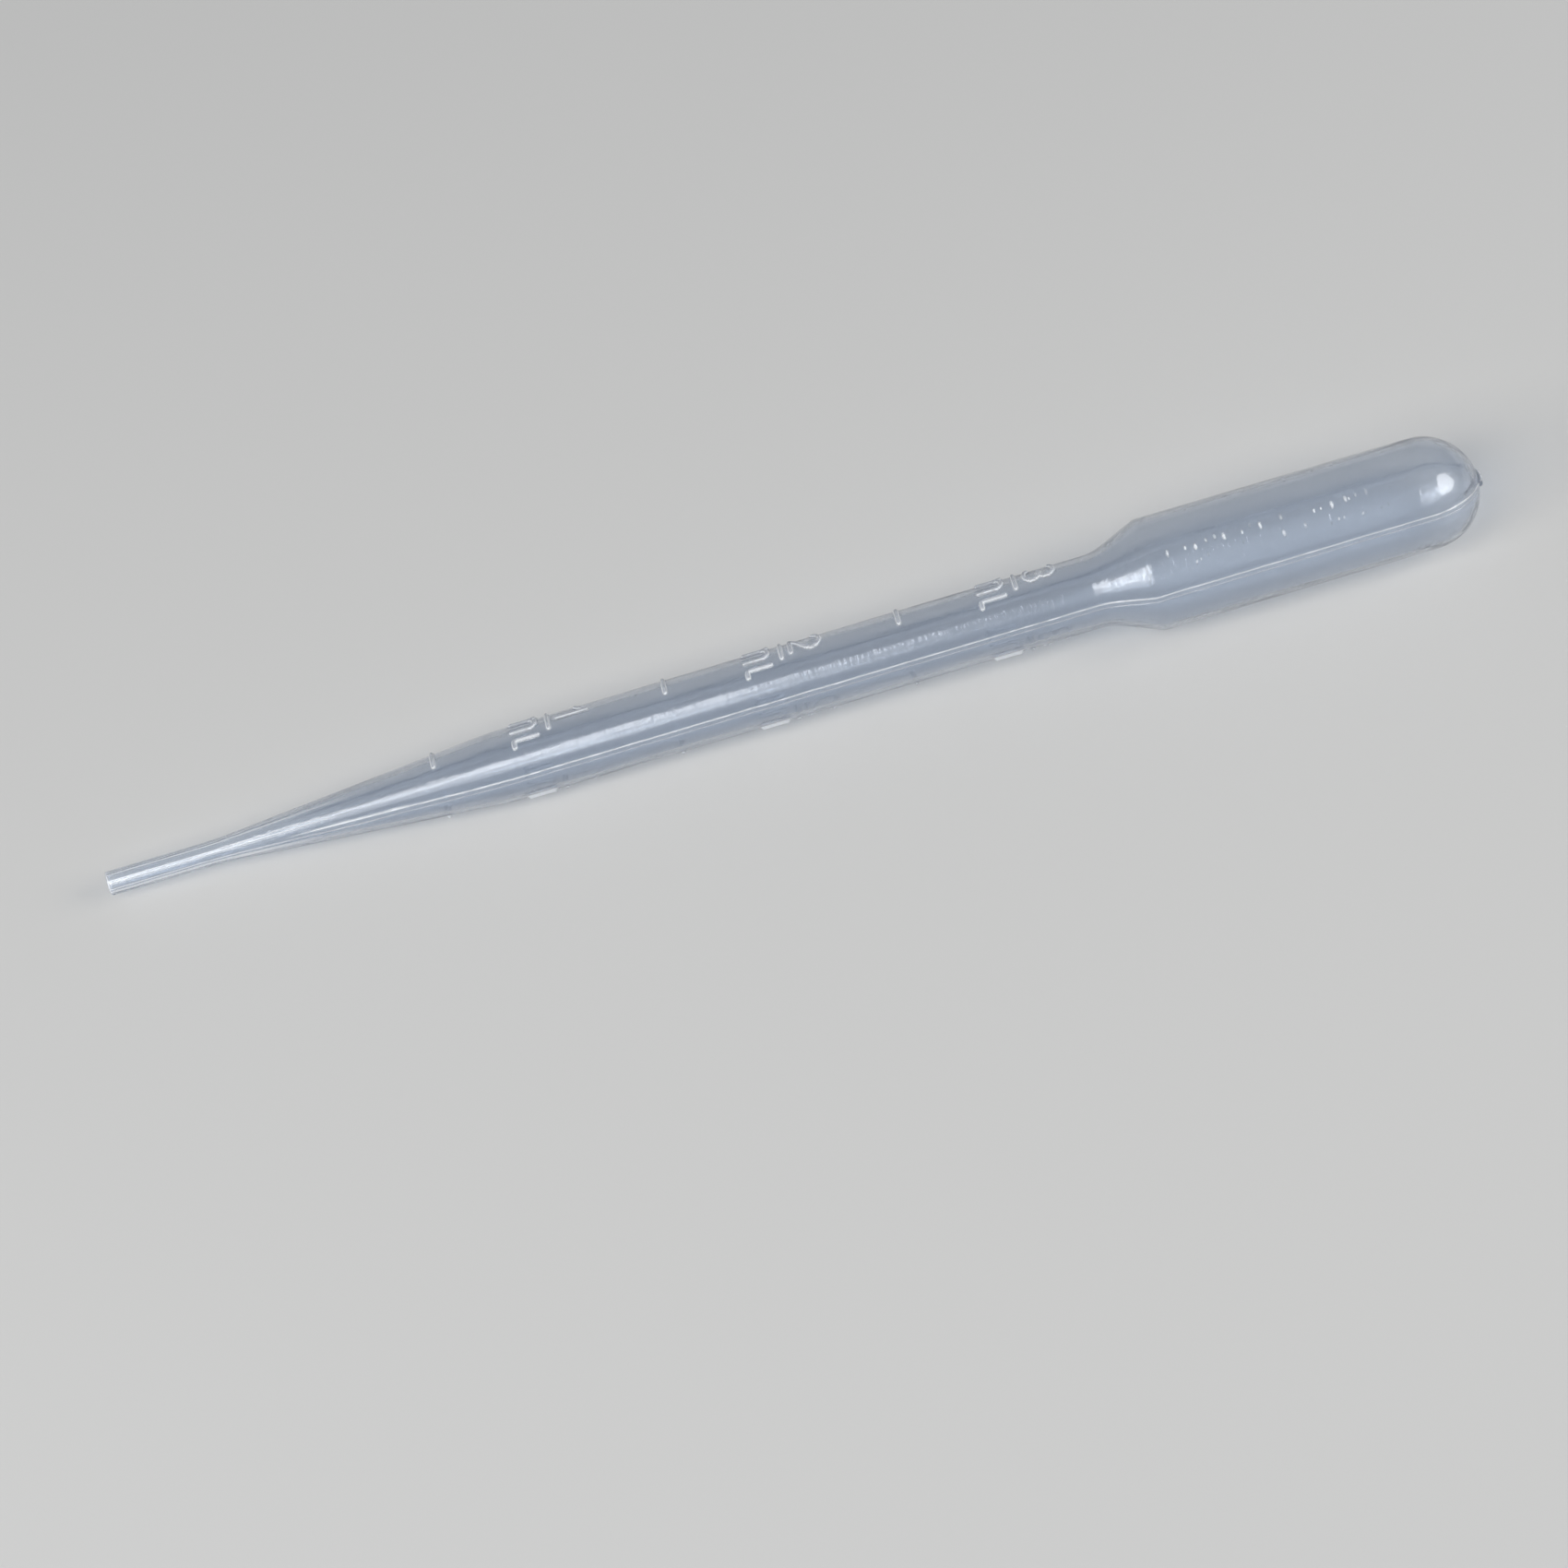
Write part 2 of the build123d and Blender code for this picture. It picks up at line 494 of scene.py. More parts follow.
def digit_strokes(digit):
    """A plain digit above a whole mark."""
    low, high = 1.1, 4.4
    half = 1.1
    if digit == 1:
        lines = [[(0.35, low), (0.35, high), (-0.75, high - 1.2)]]
    elif digit == 2:
        bowl = arc_points((0, high - 1.0), (half, 1.0), 165, -35)
        lines = [bowl + [(-half, low), (half, low)]]
    else:
        upper = arc_points((-0.1, high - 0.85), (half - 0.1, 0.85), 150, -90)
        lower = arc_points((-0.1, low + 0.9), (half, 0.9), 90, -150)
        lines = [upper, lower]
    return strokes(f"digit_{digit}_strokes", lines)


# ---- Node helpers ----
def add_node(tree, kind, inputs=(), **settings):
    """Adds a node, sets its properties and fills its inputs: a socket is linked, a value is set."""
    node = tree.nodes.new(kind)
    for name, value in settings.items():
        setattr(node, name, value)
    for key, value in dict(inputs).items():
        socket = node.inputs[key]
        if isinstance(value, bpy.types.NodeSocket):
            tree.links.new(value, socket)
        else:
            socket.default_value = value
    return node


class Sums:
    """Short forms of the math nodes of one tree."""

    def __init__(self, tree):
        self.tree = tree

    def math(self, operation, *values, clamp=False):
        node = add_node(
            self.tree,
            "ShaderNodeMath",
            dict(enumerate(values)),
            operation=operation,
            use_clamp=clamp,
        )
        return node.outputs[0]

    def vector(self, operation, *values):
        node = add_node(
            self.tree, "ShaderNodeVectorMath", dict(enumerate(values)), operation=operation
        )
        return node.outputs[0]

    def scaled(self, vector, factor):
        node = add_node(
            self.tree,
            "ShaderNodeVectorMath",
            {"Vector": vector, "Scale": factor},
            operation="SCALE",
        )
        return node.outputs[0]

    def ramp(self, value, start, end, low=0.0, high=1.0):
        """A smooth step of the value from low at start to high at end."""
        node = add_node(
            self.tree,
            "ShaderNodeMapRange",
            {"Value": value, "From Min": start, "From Max": end, "To Min": low, "To Max": high},
            interpolation_type="SMOOTHSTEP",
        )
        return node.outputs["Result"]

    def named(self, name):
        node = add_node(
            self.tree, "GeometryNodeInputNamedAttribute", {"Name": name}, data_type="FLOAT"
        )
        return node.outputs["Attribute"]

    def noise(self, vector, scale, detail=2.0, seed=0.0):
        node = add_node(
            self.tree,
            "ShaderNodeTexNoise",
            {"Vector": vector, "W": seed, "Scale": scale, "Detail": detail},
            noise_dimensions="4D",
        )
        return self.math("SUBTRACT", node.outputs["Fac"], 0.5)


RELIEF_INPUTS = (
    "First Mark",
    "Mark Spacing",
    "Mark Height",
    "Stroke Crest",
    "Stroke Foot",
    "Rib Height",
    "Rib Crest",
    "Rib Foot",
    "Rib Start",
    "Pinch Height",
    "Pinch Length",
    "Pinch Width",
    "Bar From",
    "Waviness",
    "Raggedness",
    "Nick Depth",
    "Nick Turn",
    "Seam Thickness",
    "Frost",
)


def skin_tree(material, stroke_objects):
    """The node tree: it lays the strokes out, reads how far each point of the sheet is from them,
    wraps the sheet round the axis and raises what stands on it."""
    tree = bpy.data.node_groups.new("Pipette skin", "GeometryNodeTree")
    socket = tree.interface.new_socket
    socket("Geometry", in_out="INPUT", socket_type="NodeSocketGeometry")
    socket("Geometry", in_out="OUTPUT", socket_type="NodeSocketGeometry")
    for name in ("Axis Start", "Axis Direction", "Marks Side", "Parting Side"):
        socket(name, in_out="INPUT", socket_type="NodeSocketVector")
    for name in RELIEF_INPUTS:
        socket(name, in_out="INPUT", socket_type="NodeSocketFloat")
    socket("Half Marks", in_out="INPUT", socket_type="NodeSocketInt")
    socket("Seed", in_out="INPUT", socket_type="NodeSocketFloat")
    given = tree.nodes.new("NodeGroupInput").outputs
    s = Sums(tree)

    # Marks, units and digits, each repeated at its stations on the flattened stem
    def along_stem(station):
        return add_node(tree, "ShaderNodeCombineXYZ", {"X": station}).outputs[0]

    def laid_out(count, first, step, geometry, pick=False):
        line = add_node(
            tree,
            "GeometryNodeMeshLine",
            {"Count": count, "Start Location": along_stem(first), "Offset": along_stem(step)},
        )
        placed = add_node(
            tree,
            "GeometryNodeInstanceOnPoints",
            {"Points": line.outputs["Mesh"], "Instance": geometry, "Pick Instance": pick},
        )
        if pick:
            index = add_node(tree, "GeometryNodeInputIndex").outputs["Index"]
            tree.links.new(index, placed.inputs["Instance Index"])
        return placed.outputs["Instances"]

    def strokes_of(name):
        return add_node(
            tree, "GeometryNodeObjectInfo", {"Object": stroke_objects[name], "As Instance": True}
        ).outputs["Geometry"]

    whole_count = s.math("FLOOR", s.math("MULTIPLY", given["Half Marks"], 0.5))
    whole_first = s.math("ADD", given["First Mark"], given["Mark Spacing"])
    whole_step = s.math("MULTIPLY", given["Mark Spacing"], 2.0)
    digits = tree.nodes.new("GeometryNodeJoinGeometry")
    for name in ("3", "2", "1"):
        tree.links.new(strokes_of(name), digits.inputs[0])
    lines = tree.nodes.new("GeometryNodeJoinGeometry")
    for laid in (
        laid_out(
            given["Half Marks"], given["First Mark"], given["Mark Spacing"], strokes_of("tick")
        ),
        laid_out(whole_count, whole_first, whole_step, strokes_of("unit")),
        laid_out(whole_count, whole_first, whole_step, digits.outputs[0], pick=True),
    ):
        tree.links.new(laid, lines.inputs[0])
    lines = add_node(tree, "GeometryNodeRealizeInstances", {"Geometry": lines.outputs[0]})

    # How far a point is from the nearest stroke; both mould halves carry the same ones
    station, radius, turn = s.named("station"), s.named("radius"), s.named("turn")
    lean, outside = s.named("lean"), s.named("outside")
    half_turn = s.math("WRAP", turn, math.pi / 2, -math.pi / 2)
    flat = add_node(
        tree, "ShaderNodeCombineXYZ", {"X": station, "Y": s.math("MULTIPLY", half_turn, radius)}
    ).outputs[0]
    nearest = add_node(
        tree,
        "GeometryNodeProximity",
        {"Geometry": lines.outputs[0], "Sample Position": flat},
        target_element="EDGES",
    )
    unevenness = s.noise(flat, 900.0, seed=given["Seed"])
    edge = s.math("ADD", nearest.outputs["Distance"], s.math("MULTIPLY", unevenness, 0.08 * MM))
    stroke = s.ramp(edge, given["Stroke Crest"], given["Stroke Foot"], 1.0, 0.0)
    marks = s.math("MULTIPLY", stroke, given["Mark Height"])

    # The parting line, a little wavy, and the bar over the end of the bulb
    from_plane = s.math("MULTIPLY", radius, s.math("COSINE", turn))
    drift = s.math("MULTIPLY", s.noise(along_stem(station), 260.0, seed=given["Seed"]), 0.16 * MM)
    across = s.math("ABSOLUTE", s.math("ADD", from_plane, drift))
    line = s.ramp(across, given["Rib Crest"], given["Rib Foot"], 1.0, 0.0)
    fade = s.ramp(station, given["Rib Start"], s.math("ADD", given["Rib Start"], 12 * MM))
    rib = s.math("MULTIPLY", s.math("MULTIPLY", line, fade), given["Rib Height"])
    off_axis = s.math("ABSOLUTE", s.math("MULTIPLY", radius, s.math("SINE", turn)))
    half_width = s.math("MULTIPLY", given["Pinch Width"], 0.5)
    half_length = s.math("MULTIPLY", given["Pinch Length"], 0.5)
    plain_across = s.math("ABSOLUTE", from_plane)
    bar = s.ramp(plain_across, s.math("MULTIPLY", half_width, 0.45), half_width, 1.0, 0.0)
    bar_end = s.ramp(off_axis, s.math("MULTIPLY", half_length, 0.7), half_length, 1.0, 0.0)
    bar = s.math("MULTIPLY", s.math("MULTIPLY", bar, bar_end), given["Pinch Height"])
    bar = s.math("MULTIPLY", bar, s.math("GREATER_THAN", station, given["Bar From"]))

    raised = s.math("MAXIMUM", marks, rib)
    raised = s.math("MULTIPLY", s.math("MAXIMUM", raised, bar), outside)

    def flanks(rise, crest):
        """The flanks of a ridge, most where they are steepest, and some of its crest."""
        sides = s.math("MULTIPLY", s.math("MULTIPLY", rise, s.math("SUBTRACT", 1.0, rise)), 4.0)
        return s.math("MAXIMUM", sides, s.math("MULTIPLY", rise, crest))

    # Partly painted highlight: whitish mould flash, strongest on the flanks to paint each ridge's
    # two bright lines
    broken = s.ramp(s.noise(along_stem(station), 700.0, 4.0, given["Seed"]), -0.2, 0.2, 0.45, 1.0)
    seam_flash_and_glint = s.math("MULTIPLY", s.math("MULTIPLY", flanks(line, 0.15), fade), broken)
    flash = s.math("MAXIMUM", flanks(stroke, 0.3), seam_flash_and_glint)

    # Painted highlight: the lower half's figures are whitened on one side, nearest the parting line
    near_seam = s.ramp(turn, math.radians(152), math.radians(162), given["Frost"], 0.0)
    near_seam = s.math("MULTIPLY", near_seam, s.math("GREATER_THAN", turn, math.pi / 2))
    painted_figure_glint = s.ramp(edge, given["Stroke Crest"], 0.95 * MM, 1.0, 0.0)
    flash = s.math("MAXIMUM", flash, s.math("MULTIPLY", painted_figure_glint, near_seam))
    flash = s.math("MULTIPLY", flash, outside)

    # The inner face swells and sinks in long streaks
    streak_place = add_node(
        tree,
        "ShaderNodeCombineXYZ",
        {
            "X": s.math("MULTIPLY", station, 0.12),
            "Y": s.math("MULTIPLY", s.math("COSINE", turn), 3 * MM),
            "Z": s.math("MULTIPLY", s.math("SINE", turn), 3 * MM),
        },
    ).outputs[0]
    streaks = s.noise(streak_place, 520.0, seed=given["Seed"])
    inside = s.math("SUBTRACT", 1.0, outside)
    streaks = s.math("MULTIPLY", s.math("MULTIPLY", streaks, given["Waviness"]), inside)
    streaks = s.math("MULTIPLY", streaks, s.ramp(station, 1 * MM, 6 * MM))
    streaks = s.math("MULTIPLY", streaks, s.ramp(station, 30 * MM, 90 * MM, 2.2, 1.0))
    height = s.math("ADD", raised, s.math("MULTIPLY", streaks, 2.0))

    # The wall is thicker along the parting line
    seam = s.ramp(plain_across, 0.25 * MM, 1.1 * MM, given["Seam Thickness"], 0.0)
    height = s.math("ADD", height, s.math("MULTIPLY", s.math("MULTIPLY", seam, inside), fade))

    # The cut of the mouth runs in and out
    around = add_node(
        tree, "ShaderNodeCombineXYZ", {"X": s.math("COSINE", turn), "Y": s.math("SINE", turn)}
    ).outputs[0]
    cut = s.math("ADD", s.noise(around, 1.6, seed=given["Seed"]), 0.5)
    cut = s.math("MULTIPLY", cut, given["Raggedness"])
    off_nick = s.math("ABSOLUTE", s.math("SUBTRACT", turn, given["Nick Turn"]))
    nick = s.ramp(off_nick, math.radians(8), math.radians(30), given["Nick Depth"], 0.0)
    cut = s.math("MULTIPLY", s.math("ADD", cut, nick), s.ramp(station, 0.0, 1.2 * MM, 1.0, 0.0))

    # Wrapping: along the axis by the station, and out by the radius
    pushed_along = s.math("MULTIPLY", height, s.math("SINE", lean))
    station_at = s.math("ADD", s.math("ADD", station, pushed_along), cut)
    radius_at = s.math("ADD", radius, s.math("MULTIPLY", height, s.math("COSINE", lean)))
    outward = s.vector(
        "ADD",
        s.scaled(given["Marks Side"], s.math("COSINE", turn)),
        s.scaled(given["Parting Side"], s.math("SINE", turn)),
    )
    on_axis = s.vector("ADD", given["Axis Start"], s.scaled(given["Axis Direction"], station_at))
    place = s.vector("ADD", on_axis, s.scaled(outward, radius_at))

    wrapped = add_node(
        tree, "GeometryNodeSetPosition", {"Geometry": given["Geometry"], "Position": place}
    )
    # The shorter diagonal of a face runs along a ridge and not across it
    split = add_node(
        tree,
        "GeometryNodeTriangulate",
        {"Mesh": wrapped.outputs[0]},
        quad_method="SHORTEST_DIAGONAL",
    )
    known = add_node(
        tree,
        "GeometryNodeStoreNamedAttribute",
        {"Geometry": split.outputs[0], "Name": "flash", "Value": flash},
        data_type="FLOAT",
        domain="POINT",
    )
    smooth = add_node(tree, "GeometryNodeSetShadeSmooth", {"Geometry": known.outputs[0]})
    real = add_node(tree, "GeometryNodeRealizeInstances", {"Geometry": smooth.outputs[0]})
    dressed = add_node(
        tree, "GeometryNodeSetMaterial", {"Geometry": real.outputs[0], "Material": material}
    )
    result = tree.nodes.new("NodeGroupOutput")
    tree.links.new(dressed.outputs[0], result.inputs[0])
    return tree


def set_inputs(modifier, values):
    """Fills the modifier's inputs by the names of its tree's sockets."""
    sockets = {
        i.name: i.identifier
        for i in modifier.node_group.interface.items_tree
        if i.item_type == "SOCKET" and i.in_out == "INPUT"
    }
    for name, value in values.items():
        modifier[sockets[name]] = value


def plain_mesh(obj):
    """What the modifiers make of the object, as its own plain mesh."""
    graph = bpy.context.evaluated_depsgraph_get()
    mesh = bpy.data.meshes.new_from_object(obj.evaluated_get(graph))
    obj.modifiers.clear()
    old = obj.data
    obj.data = mesh
    bpy.data.meshes.remove(old)


# ---- Materials ----
def new_material(name):
    material = bpy.data.materials.new(name)
    material.use_nodes = True
    material.node_tree.nodes.clear()
    return material, material.node_tree


def milky_polyethylene(plastic):
    """Blow-moulded low-density polyethylene: clear enough to see the far side through, with a
    bluish milk that thickens where the eye looks along the wall. Fine cross ripples and lengthwise
    draw lines break the gloss."""
    material, tree = new_material("blow_moulded_ldpe")
    s = Sums(tree)
    place = add_node(tree, "ShaderNodeTexCoord").outputs["Object"]
    level = -math.atan2(ALONG.z, ALONG.x)

    def turned(scale):
        return add_node(
            tree,
            "ShaderNodeMapping",
            {"Vector": place, "Rotation": (0, -level, 0), "Scale": scale},
            vector_type="TEXTURE",
        ).outputs[0]

    def ripples(scale, size, detail):
        return add_node(
            tree, "ShaderNodeTexNoise", {"Vector": turned(scale), "Scale": size, "Detail": detail}
        ).outputs["Fac"]

    draw_lines = ripples((14.0, 1.0, 1.0), 1500.0, 1.0)
    cross = ripples((1.0, 3.4, 3.4), 2300.0, 2.0)
    patches = s.ramp(ripples((2.0, 1.0, 1.0), 260.0, 1.0), 0.3, 0.6, 0.25, 1.0)
    swell = ripples((3.0, 1.0, 1.0), 220.0, 0.0)
    cross = s.math("MULTIPLY", s.math("MULTIPLY", cross, patches), 1.8)
    mixed = s.math("ADD", cross, s.math("MULTIPLY", draw_lines, 0.8))
    mixed = s.math("ADD", mixed, s.math("MULTIPLY", swell, 2.4))

    def attribute(name):
        return add_node(
            tree, "ShaderNodeAttribute", attribute_name=name, attribute_type="GEOMETRY"
        ).outputs["Fac"]

    # Small dents, longer round the skin than along it
    station, turn, outside = attribute("station"), attribute("turn"), attribute("outside")
    round_skin = s.math("MULTIPLY", s.math("MULTIPLY", turn, attribute("radius")), 0.45)
    flat = add_node(tree, "ShaderNodeCombineXYZ", {"X": station, "Y": round_skin}).outputs[0]
    cells = add_node(
        tree, "ShaderNodeTexVoronoi", {"Vector": flat, "Scale": 900.0}, voronoi_dimensions="2D"
    )
    chance = add_node(tree, "ShaderNodeSeparateColor", {"Color": cells.outputs["Color"]})
    dent = s.ramp(cells.outputs["Distance"], 0.02, 0.22, 1.0, 0.0)
    dent = s.math("MULTIPLY", dent, s.ramp(chance.outputs[0], 0.5, 0.9))
    mixed = s.math("SUBTRACT", mixed, s.math("MULTIPLY", dent, 0.8))

    # The end of the bulb is blown less evenly than the rest
    lumps = s.math("MULTIPLY", ripples((1.0, 1.0, 1.0), 420.0, 1.0), 7.0)
    lumps = s.math("MULTIPLY", lumps, s.ramp(station, 145 * MM, 149 * MM))
    mixed = s.math("ADD", mixed, lumps)

    # The drawn tip carries deeper lines along it
    tip_lines = s.math("MULTIPLY", ripples((30.0, 1.0, 1.0), 3000.0, 1.0), 3.0)
    tip_lines = s.math("MULTIPLY", tip_lines, s.ramp(station, 14 * MM, 36 * MM, 1.0, 0.0))
    mixed = s.math("ADD", mixed, tip_lines)
    strength = s.ramp(outside, 0.0, 1.0, 0.12, 0.5)
    bump = add_node(
        tree, "ShaderNodeBump", {"Height": mixed, "Strength": strength, "Distance": 0.05 * MM}
    )

    # Painted glints: small white specks, uneven and soft at the edge, in a row along the bulb's
    # upper side
    # They paint in the glints of the key lamp, in the band where its highlight falls
    glint_cells = add_node(
        tree, "ShaderNodeTexVoronoi", {"Vector": flat, "Scale": 1250.0}, voronoi_dimensions="2D"
    )
    luck = add_node(tree, "ShaderNodeSeparateColor", {"Color": glint_cells.outputs["Color"]})
    reach = s.ramp(luck.outputs[0], 0.0, 1.0, 0.16, 0.42)
    grain = s.ramp(ripples((1.0, 1.0, 1.0), 5200.0, 2.0), 0.35, 0.65, 0.6, 1.0)
    painted_glints = s.math("DIVIDE", glint_cells.outputs["Distance"], s.math("MULTIPLY", reach, grain))
    chosen = s.ramp(luck.outputs[1], 0.48, 0.92, 0.0, plastic.painted_glint_white)
    painted_glints = s.math("MULTIPLY", s.ramp(painted_glints, 0.25, 1.0, 1.0, 0.0), chosen)
    off_row = s.math("ABSOLUTE", s.math("SUBTRACT", turn, plastic.painted_glint_turn))
    painted_glints = s.math("MULTIPLY", painted_glints, s.ramp(off_row, math.radians(6), math.radians(16), 1.0, 0.0))
    painted_glints = s.math("MULTIPLY", painted_glints, s.ramp(station, 118 * MM, 121 * MM))
    painted_glints = s.math("MULTIPLY", painted_glints, s.ramp(station, 143 * MM, 146 * MM, 1.0, 0.0))

    # Painted streaks along the tip, and the whitened cut edge of the mouth
    # White stripes along the tip, fading out along the taper, paint in streaks of lamp light on its
    # draw lines
    around = add_node(
        tree, "ShaderNodeCombineXYZ", {"X": s.math("COSINE", turn), "Y": s.math("SINE", turn)}
    ).outputs[0]
    painted_streaks = add_node(
        tree, "ShaderNodeTexNoise", {"Vector": around, "Scale": 7.0, "Detail": 1.0}
    ).outputs["Fac"]
    painted_streaks = s.ramp(painted_streaks, 0.5, 0.6, 0.0, plastic.painted_streak_white)
    painted_streaks = s.math("MULTIPLY", painted_streaks, s.ramp(station, 12 * MM, 34 * MM, 1.0, 0.0))
    cut_edge = s.ramp(station, 0.08 * MM, 0.3 * MM, plastic.cut_white, 0.0)
    # Together: painted glints, painted streaks and the whitened cut edge
    glints_streaks_and_cut = s.math("MAXIMUM", s.math("MAXIMUM", painted_glints, painted_streaks), cut_edge)

    # Whitened: mould flash with painted flank highlights, painted glints and streaks, and the cut
    # edge
    flash = s.math("MAXIMUM", attribute("flash"), s.math("MULTIPLY", glints_streaks_and_cut, outside))
    roughness = s.ramp(outside, 0.0, 1.0, plastic.inner_roughness, plastic.outer_roughness)
    roughness = s.math("MAXIMUM", roughness, s.math("MULTIPLY", flash, plastic.flash_roughness))
    clear = s.math("SUBTRACT", 0.97, s.math("MULTIPLY", flash, plastic.flash_and_glint_white))
    shader = add_node(
        tree,
        "ShaderNodeBsdfPrincipled",
        {
            "Base Color": (*plastic.tint, 1.0),
            "Roughness": roughness,
            "IOR": plastic.index,
            "Transmission Weight": clear,
            "Normal": bump.outputs["Normal"],
        },
    )
    let_through = [c * plastic.shadow for c in plastic.tint]
    passing = add_node(tree, "ShaderNodeBsdfTransparent", {"Color": (*let_through, 1.0)})
    shadow_ray = add_node(tree, "ShaderNodeLightPath").outputs["Is Shadow Ray"]
    surface = add_node(
        tree,
        "ShaderNodeMixShader",
        {0: shadow_ray, 1: shader.outputs[0], 2: passing.outputs[0]},
    )
    scattered = add_node(
        tree,
        "ShaderNodeVolumeScatter",
        {"Color": (*plastic.milk, 1.0), "Density": plastic.milk_density, "Anisotropy": 0.0},
    )
    absorbed = add_node(
        tree,
        "ShaderNodeVolumeAbsorption",
        {"Color": (*plastic.depth, 1.0), "Density": plastic.depth_density},
    )
    milk = add_node(tree, "ShaderNodeAddShader", {0: scattered.outputs[0], 1: absorbed.outputs[0]})
    add_node(
        tree,
        "ShaderNodeOutputMaterial",
        {"Surface": surface.outputs[0], "Volume": milk.outputs[0]},
    )
    return material


def floor_paint(stage):
    """Matt sheet of pale grey paper: even, without any gloss."""
    material, tree = new_material("matt_grey_paper")
    shader = add_node(
        tree,
        "ShaderNodeBsdfPrincipled",
        {"Base Color": (*stage.floor_colour, 1.0), "Roughness": 0.9, "Specular IOR Level": 0.1},
    )
    add_node(tree, "ShaderNodeOutputMaterial", {"Surface": shader.outputs[0]})
    return material


# ---- Operators ----
class PIPETTE_OT_skin(bpy.types.Operator):
    """Builds the whole pipette, which is one piece"""

    bl_idname = "pipette.skin"
    bl_label = "Build pipette"

    def execute(self, context):
        scene = context.scene
        skin, relief = scene.pipette_skin, scene.pipette_relief
        material = milky_polyethylene(scene.pipette_plastic)
        stroke_objects = {
            "tick": tick_strokes(relief.mark_length),
            "unit": unit_strokes(),
            "1": digit_strokes(1),
            "2": digit_strokes(2),
            "3": digit_strokes(3),
        }
        tree = skin_tree(material, stroke_objects)
        pipette = bpy.data.objects.new("pipette_skin", sheet_mesh(skin, relief))
        scene.collection.objects.link(pipette)

        roll = Matrix.Rotation(relief.parting_roll, 3, ALONG)
        parting_side = roll @ ALONG.cross(Vector((0, 1, 0)))
        marks_side = ALONG.cross(parting_side) * -1
        modifier = pipette.modifiers.new("Skin", "NODES")
        modifier.node_group = tree
        set_inputs(
            modifier,
            {
                "Axis Start": MOUTH,
                "Axis Direction": ALONG,
                "Marks Side": marks_side,
                "Parting Side": parting_side,
                "First Mark": relief.first_mark,
                "Mark Spacing": relief.mark_spacing,
                "Mark Height": relief.mark_height,
                "Stroke Crest": relief.stroke_crest,
                "Stroke Foot": relief.stroke_foot,
                "Rib Height": relief.rib_height,
                "Rib Crest": relief.rib_crest,
                "Rib Foot": relief.rib_foot,
                "Rib Start": relief.rib_start,
                "Pinch Height": relief.pinch_height,
                "Pinch Length": relief.pinch_length,
                "Pinch Width": relief.pinch_width,
                "Bar From": skin.length - skin.dome_r,
                "Waviness": skin.waviness,
                "Raggedness": skin.raggedness,
                "Nick Depth": skin.nick_depth,
                "Nick Turn": skin.nick_turn,
                "Seam Thickness": skin.seam_thickness,
                "Frost": relief.painted_figure_glint,
                "Half Marks": relief.half_marks,
                "Seed": skin.seed,
            },
        )
        plain_mesh(pipette)
        for lines in stroke_objects.values():
            bpy.data.objects.remove(lines)
        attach(pipette, "root")
        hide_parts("pipette")
        return {"FINISHED"}


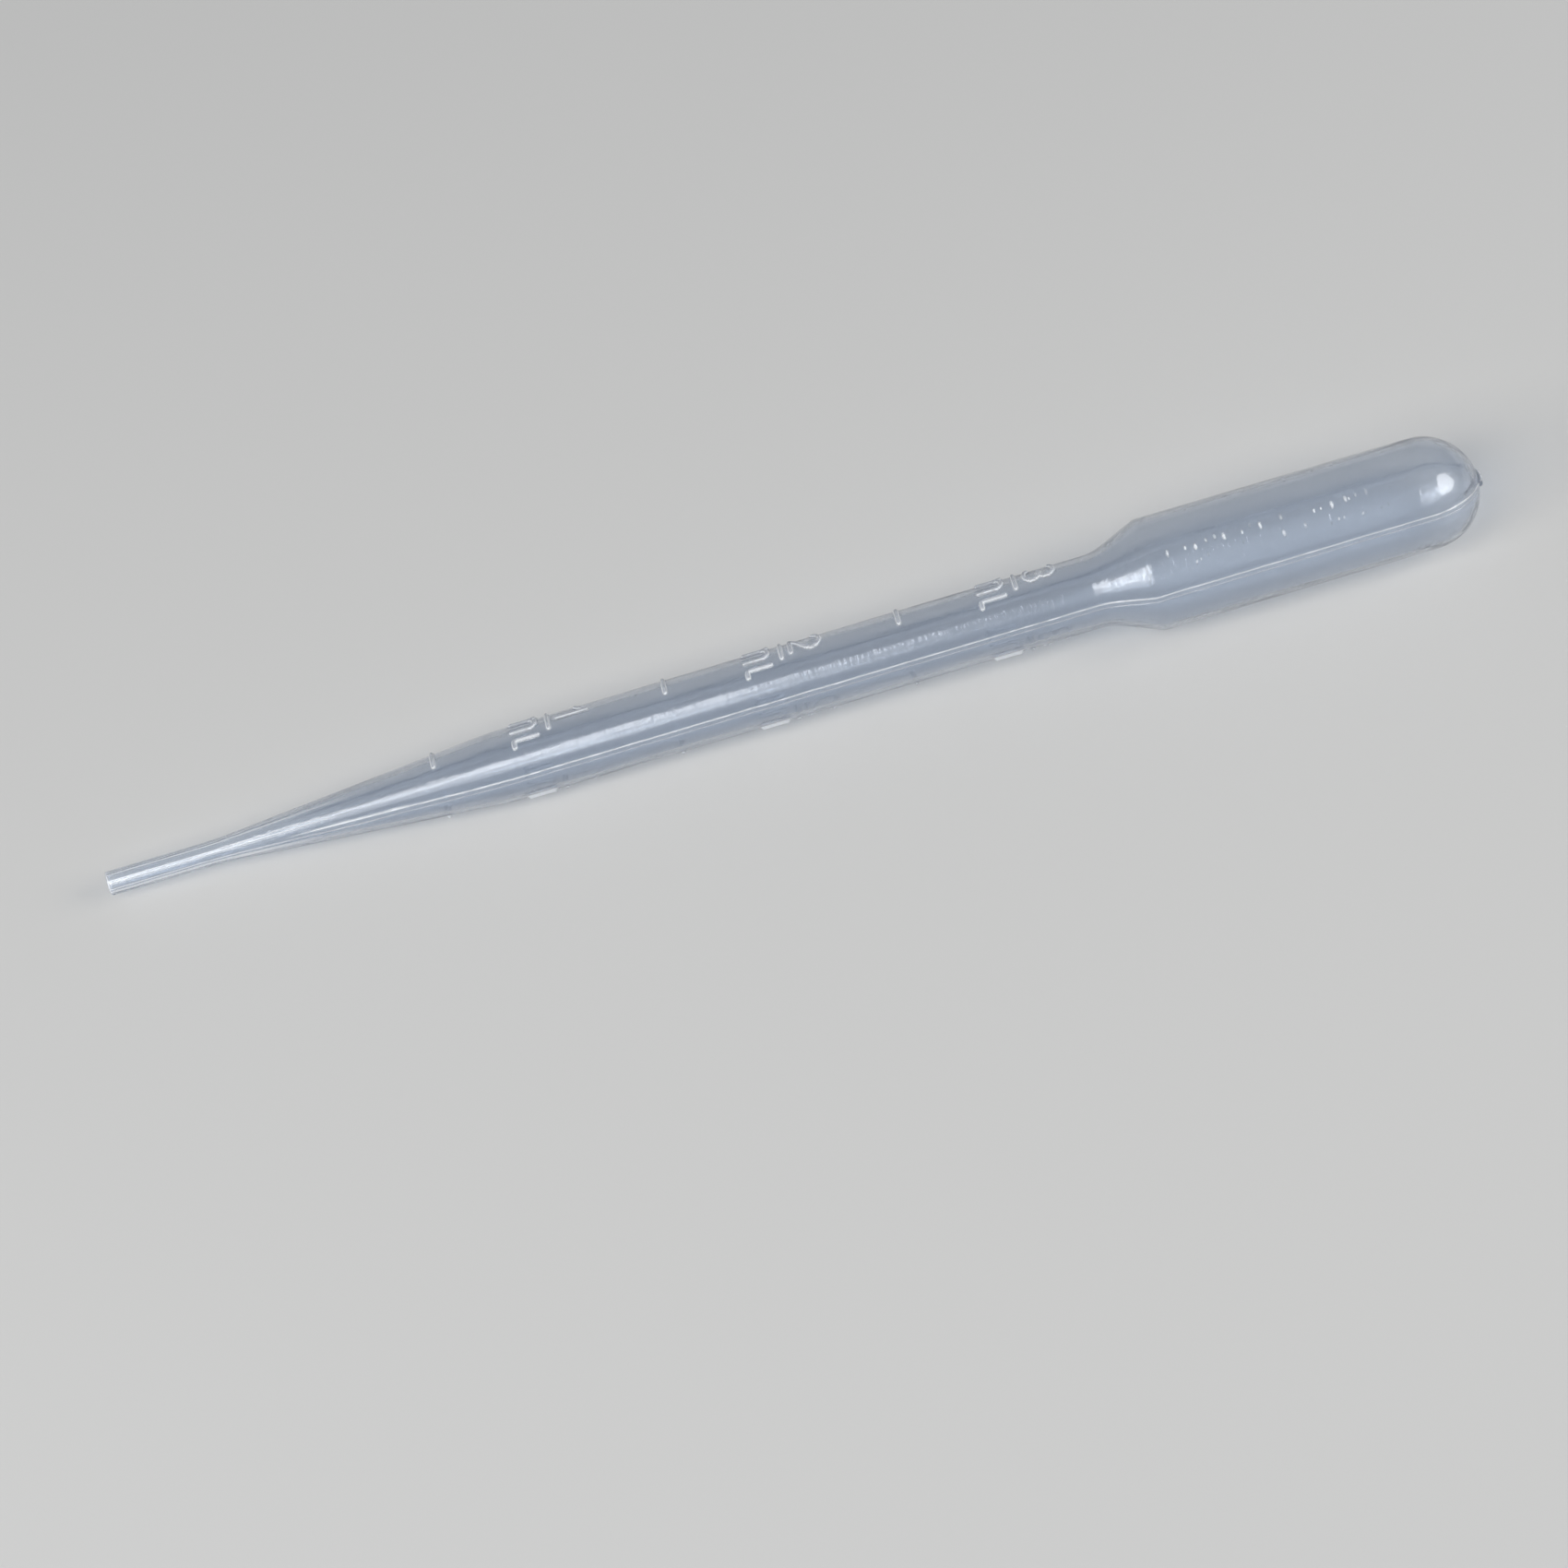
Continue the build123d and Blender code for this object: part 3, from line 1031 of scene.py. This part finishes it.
class PIPETTE_OT_stage(bpy.types.Operator):
    """Lays the pale floor and sets the soft light and the camera"""

    bl_idname = "pipette.stage"
    bl_label = "Set stage"

    def execute(self, context):
        scene = context.scene
        stage = scene.pipette_stage
        half = stage.floor_side / 2
        mesh = bpy.data.meshes.new("floor")
        corners = [(-half, -half, 0), (half, -half, 0), (half, half, 0), (-half, half, 0)]
        mesh.from_pydata(corners, [], [(0, 1, 2, 3)])
        mesh.materials.append(floor_paint(stage))
        floor = bpy.data.objects.new("floor", mesh)
        scene.collection.objects.link(floor)

        world = bpy.data.worlds.new("soft_sky")
        world.use_nodes = True
        sky = world.node_tree.nodes["Background"].inputs
        sky["Color"].default_value = (*stage.sky_colour, 1.0)
        sky["Strength"].default_value = stage.sky_strength
        scene.world = world

        middle = (LOW + HIGH) / 2
        height, roll = stage.view_height, stage.view_roll
        back = Vector((0, -math.cos(height), math.sin(height)))
        level_up = Vector((0, math.sin(height), math.cos(height)))
        level_right = Vector((1, 0, 0))
        right = level_right * math.cos(roll) - level_up * math.sin(roll)
        up = level_right * math.sin(roll) + level_up * math.cos(roll)
        aim = middle - right * stage.aim_left - up * stage.aim_down
        camera = bpy.data.cameras.new("camera")
        camera.lens = camera.sensor_width * stage.view_distance / stage.view_width
        camera.clip_start = 0.05
        eye = bpy.data.objects.new("camera", camera)
        turned = Matrix((right, up, back)).transposed().to_4x4()
        eye.matrix_world = Matrix.Translation(aim + back * stage.view_distance) @ turned
        scene.collection.objects.link(eye)
        scene.camera = eye

        # Two strips overhead draw the bands along the stem, and a lamp at each end lights the
        # shoulder and the dome
        overhead = back * 0.6
        to_left = Vector((-0.235, 0, 0))
        strip = (0.44, 0.2)
        fill_power = stage.key_power * stage.fill_share
        right_power = stage.side_power * stage.right_share
        left_end = back * 0.45 + Vector((-0.6, 0, 0))
        right_end = back * 0.45 + Vector((0.5, 0.06, 0))
        key_place = overhead + level_up * 0.1 + to_left
        fill_place = overhead - level_up * 0.1 + to_left
        self.lamp(scene, "key", stage.key_power, strip, key_place, middle)
        self.lamp(scene, "fill", fill_power, strip, fill_place, middle)
        self.lamp(scene, "left", stage.side_power, (0.26, 0.26), left_end, middle)
        right_lamp = self.lamp(scene, "right", right_power, (0.46, 0.38), right_end, middle)
        right_lamp.data.shape = "ELLIPSE"
        scene.view_settings.view_transform = "Standard"
        return {"FINISHED"}

    def lamp(self, scene, name, power, size, offset, target):
        """A soft rectangular lamp that faces the target and that the camera doesn't see."""
        light = bpy.data.lights.new(name, "AREA")
        light.shape = "RECTANGLE"
        light.size, light.size_y = size
        light.energy = power
        lamp = bpy.data.objects.new(name, light)
        lamp.location = target + offset
        forward = -offset.normalized()
        side = Vector((1, 0, 0))
        side = (side - forward * side.dot(forward)).normalized()
        lamp.rotation_mode = "QUATERNION"
        lamp.rotation_quaternion = Matrix(
            (side, (-forward).cross(side), -forward)
        ).transposed().to_quaternion()
        lamp.visible_camera = False
        scene.collection.objects.link(lamp)
        return lamp


class PIPETTE_PT_panel(bpy.types.Panel):
    """Lists the pipette's operators and settings"""

    bl_label = "Dropper Pipette"
    bl_idname = "PIPETTE_PT_panel"
    bl_space_type = "VIEW_3D"
    bl_region_type = "UI"
    bl_category = "Pipette"

    def draw(self, context):
        layout = self.layout
        for operator in (PIPETTE_OT_skin, PIPETTE_OT_stage):
            layout.operator(operator.bl_idname)
        for name in SETTINGS:
            group = getattr(context.scene, name)
            for key in group.bl_rna.properties.keys():
                if key not in ("rna_type", "name"):
                    layout.prop(group, key)


SETTINGS = {
    "pipette_skin": PipetteSkin,
    "pipette_relief": PipetteRelief,
    "pipette_plastic": PipettePlastic,
    "pipette_stage": PipetteStage,
}
CLASSES = (*SETTINGS.values(), PIPETTE_OT_skin, PIPETTE_OT_stage, PIPETTE_PT_panel)


def register():
    for cls in CLASSES:
        bpy.utils.register_class(cls)
    for name, cls in SETTINGS.items():
        setattr(bpy.types.Scene, name, PointerProperty(type=cls))


def unregister():
    for name in SETTINGS:
        delattr(bpy.types.Scene, name)
    for cls in reversed(CLASSES):
        bpy.utils.unregister_class(cls)


def main():
    register()
    bpy.ops.pipette.skin()
    bpy.ops.pipette.stage()


if __name__ == "__main__":
    main()
